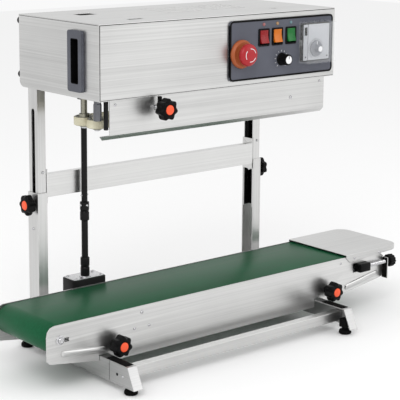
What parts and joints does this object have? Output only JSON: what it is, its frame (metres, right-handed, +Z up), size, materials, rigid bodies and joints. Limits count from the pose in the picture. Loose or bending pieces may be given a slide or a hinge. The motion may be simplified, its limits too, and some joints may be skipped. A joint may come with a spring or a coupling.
{
  "type": "continuous band sealer",
  "caption": "Upright continuous band sealer: sealing head on a height-adjustable frame above a driven belt conveyor, with stop button, rocker switches and temperature dial.",
  "frame": {"origin": "centre of the footprint, on the ground under the feet", "axes": "+X along the belt towards the end cover, +Y from the operator to the back, +Z up"},
  "size_m": [0.861, 0.352, 0.615],
  "materials": {
    "stainless": "horizontal brushed grain",
    "galvanised": "dull zinc",
    "black_steel": "black oxide, satin",
    "black_plastic": "satin moulded",
    "rubber": "matte",
    "belt": "satin green PVC",
    "aluminium": "turned",
    "brass": "satin",
    "seal_band": "coated glass cloth",
    "grey_plastic": "fine texture",
    "pale_plastic": "satin",
    "panel": "slate film",
    "yellow_plastic": "gloss",
    "red_plastic": "gloss",
    "amber_plastic": "gloss",
    "green_plastic": "gloss",
    "motor_paint": "satin paint",
    "clear_plastic": "clear moulded"
  },
  "bodies": {
    "base": {"left_arm": "stainless", "right_arm": "stainless", "front_rail": "stainless", "rear_rail": "stainless", "left_lower_post": "stainless", "right_lower_post": "stainless", "front_side_plate": "stainless", "rear_side_plate": "stainless", "end_cover": "stainless", "belt_bed": "galvanised", "gearbox_body": "black_steel", "front_left_foot": "rubber", "front_right_foot": "rubber", "rear_left_foot": "rubber", "rear_right_foot": "rubber", "conveyor_belt": "belt"},
    "head": {"head_shell": "stainless", "head_base_plate": "galvanised", "front_guard": "stainless", "control_panel": "panel", "left_upper_post": "stainless", "right_upper_post": "stainless", "crossbar": "stainless", "end_handle": "grey_plastic", "motor": "motor_paint", "front_heating_block": "brass", "rear_heating_block": "brass", "front_cooling_block": "aluminium", "rear_cooling_block": "aluminium", "power_inlet": "black_plastic", "temperature_controller": "pale_plastic", "front_sealing_band": "seal_band", "rear_sealing_band": "seal_band", "stop_button_ring": "yellow_plastic"},
    "drive_shaft": {"drive_rod": "black_steel", "upper_universal_joint": "black_steel", "lower_drive_shaft": "black_steel"},
    "drive_hub": {"drive_hub": "black_steel"},
    "drive_roller": {"drive_roller": "rubber"},
    "left_roller": {"left_roller": "aluminium"},
    "tension_carriage": {"tension_carriage": "black_plastic"},
    "tension_roller": {"tension_roller": "aluminium"},
    "front_tension_screw": {"front_tension_screw": "black_plastic"},
    "rear_tension_screw": {"rear_tension_screw": "black_plastic"},
    "front_infeed_wheel": {"front_infeed_wheel": "brass"},
    "rear_infeed_wheel": {"rear_infeed_wheel": "brass"},
    "front_outfeed_wheel": {"front_outfeed_wheel": "brass"},
    "rear_outfeed_wheel": {"rear_outfeed_wheel": "brass"},
    "stop_button": {"stop_button": "red_plastic"},
    "power_rocker": {"power_rocker": "red_plastic"},
    "heat_rocker": {"heat_rocker": "amber_plastic"},
    "drive_rocker": {"drive_rocker": "green_plastic"},
    "speed_knob": {"speed_knob": "black_plastic"},
    "temperature_dial": {"temperature_dial": "grey_plastic"},
    "controller_cover": {"controller_cover": "clear_plastic"},
    "guard_knob": {"guard_knob": "black_plastic"},
    "left_post_knob": {"left_post_knob": "black_plastic"},
    "right_post_knob": {"right_post_knob": "black_plastic"},
    "left_conveyor_knob": {"left_conveyor_knob": "black_plastic"},
    "right_conveyor_knob": {"right_conveyor_knob": "black_plastic"}
  },
  "joints": [
    {"name": "head_height", "type": "slide", "parent": "base", "child": "head", "axis": [0, 0, 1], "range_m": [-0.11, 0.01]},
    {"name": "shaft_spin", "type": "hinge", "parent": "base", "child": "drive_shaft", "pos_m": [-0.2285, 0.093, 0.2], "axis": [0, 0, 1], "continuous": true},
    {"name": "hub_spin", "type": "hinge", "parent": "head", "child": "drive_hub", "pos_m": [-0.2285, 0.093, 0.481], "axis": [0, 0, 1], "continuous": true},
    {"name": "drive_roller_spin", "type": "hinge", "parent": "base", "child": "drive_roller", "pos_m": [-0.2305, 0, 0.0935], "axis": [0, 1, 0], "continuous": true},
    {"name": "left_roller_spin", "type": "hinge", "parent": "base", "child": "left_roller", "pos_m": [-0.4035, 0, 0.0935], "axis": [0, 1, 0], "continuous": true},
    {"name": "tension_slide", "type": "slide", "parent": "base", "child": "tension_carriage", "axis": [1, 0, 0], "range_m": [-0.008, 0]},
    {"name": "tension_roller_spin", "type": "hinge", "parent": "tension_carriage", "child": "tension_roller", "pos_m": [0.3165, 0, 0.0935], "axis": [0, 1, 0], "continuous": true},
    {"name": "front_tension_turn", "type": "hinge", "parent": "base", "child": "front_tension_screw", "pos_m": [0.3925, -0.08675, 0.096], "axis": [1, 0, 0], "range_deg": [0, 2310]},
    {"name": "rear_tension_turn", "type": "hinge", "parent": "base", "child": "rear_tension_screw", "pos_m": [0.3925, 0.08675, 0.096], "axis": [1, 0, 0], "range_deg": [0, 2310]},
    {"name": "front_infeed_spin", "type": "hinge", "parent": "head", "child": "front_infeed_wheel", "pos_m": [-0.2815, -0.0209, 0.439], "axis": [0, 0, 1], "continuous": true},
    {"name": "rear_infeed_spin", "type": "hinge", "parent": "head", "child": "rear_infeed_wheel", "pos_m": [-0.2815, 0.0169, 0.439], "axis": [0, 0, 1], "continuous": true},
    {"name": "front_outfeed_spin", "type": "hinge", "parent": "head", "child": "front_outfeed_wheel", "pos_m": [0.1665, -0.0209, 0.439], "axis": [0, 0, 1], "continuous": true},
    {"name": "rear_outfeed_spin", "type": "hinge", "parent": "head", "child": "rear_outfeed_wheel", "pos_m": [0.1665, 0.0169, 0.439], "axis": [0, 0, 1], "continuous": true},
    {"name": "stop_button_press", "type": "slide", "parent": "head", "child": "stop_button", "axis": [0, 1, 0], "range_m": [0, 0.004]},
    {"name": "power_rocker_tilt", "type": "hinge", "parent": "head", "child": "power_rocker", "pos_m": [0.034, -0.088, 0.571], "axis": [1, 0, 0], "range_deg": [0, 18]},
    {"name": "heat_rocker_tilt", "type": "hinge", "parent": "head", "child": "heat_rocker", "pos_m": [0.067, -0.088, 0.571], "axis": [1, 0, 0], "range_deg": [0, 18]},
    {"name": "drive_rocker_tilt", "type": "hinge", "parent": "head", "child": "drive_rocker", "pos_m": [0.1005, -0.088, 0.571], "axis": [1, 0, 0], "range_deg": [0, 18]},
    {"name": "speed_knob_turn", "type": "hinge", "parent": "head", "child": "speed_knob", "pos_m": [0.0785, -0.1, 0.529], "axis": [0, 1, 0], "range_deg": [0, 280]},
    {"name": "temperature_dial_turn", "type": "hinge", "parent": "head", "child": "temperature_dial", "pos_m": [0.1575, -0.105, 0.5435], "axis": [0, 1, 0], "range_deg": [0, 300]},
    {"name": "controller_cover_flip", "type": "hinge", "parent": "head", "child": "controller_cover", "pos_m": [0.199, -0.0945, 0.5555], "axis": [0, 0, 1], "range_deg": [0, 90]},
    {"name": "guard_knob_turn", "type": "hinge", "parent": "head", "child": "guard_knob", "pos_m": [-0.2015, -0.11, 0.466], "axis": [0, 1, 0], "range_deg": [-720, 0]},
    {"name": "left_post_knob_turn", "type": "hinge", "parent": "base", "child": "left_post_knob", "pos_m": [-0.3325, 0.118, 0.278], "axis": [1, 0, 0], "range_deg": [-720, 0]},
    {"name": "right_post_knob_turn", "type": "hinge", "parent": "base", "child": "right_post_knob", "pos_m": [0.2225, 0.118, 0.278], "axis": [1, 0, 0], "range_deg": [0, 720]},
    {"name": "left_conveyor_knob_turn", "type": "hinge", "parent": "base", "child": "left_conveyor_knob", "pos_m": [-0.2915, -0.1, 0.065], "axis": [0, 1, 0], "range_deg": [-720, 0]},
    {"name": "right_conveyor_knob_turn", "type": "hinge", "parent": "base", "child": "right_conveyor_knob", "pos_m": [0.2245, -0.1, 0.065], "axis": [0, 1, 0], "range_deg": [-720, 0]}
  ],
  "couplings": [
    {"joint": "hub_spin", "follows": "shaft_spin", "ratio": 1},
    {"joint": "drive_roller_spin", "follows": "shaft_spin", "ratio": 1},
    {"joint": "left_roller_spin", "follows": "shaft_spin", "ratio": 1},
    {"joint": "tension_roller_spin", "follows": "shaft_spin", "ratio": 1},
    {"joint": "front_infeed_spin", "follows": "shaft_spin", "ratio": -1.424},
    {"joint": "front_outfeed_spin", "follows": "shaft_spin", "ratio": -1.424},
    {"joint": "rear_infeed_spin", "follows": "shaft_spin", "ratio": 1.424},
    {"joint": "rear_outfeed_spin", "follows": "shaft_spin", "ratio": 1.424},
    {"joint": "front_tension_turn", "follows": "tension_slide", "rad_per_m": -5026.6},
    {"joint": "rear_tension_turn", "follows": "tension_slide", "rad_per_m": -5026.6}
  ]
}
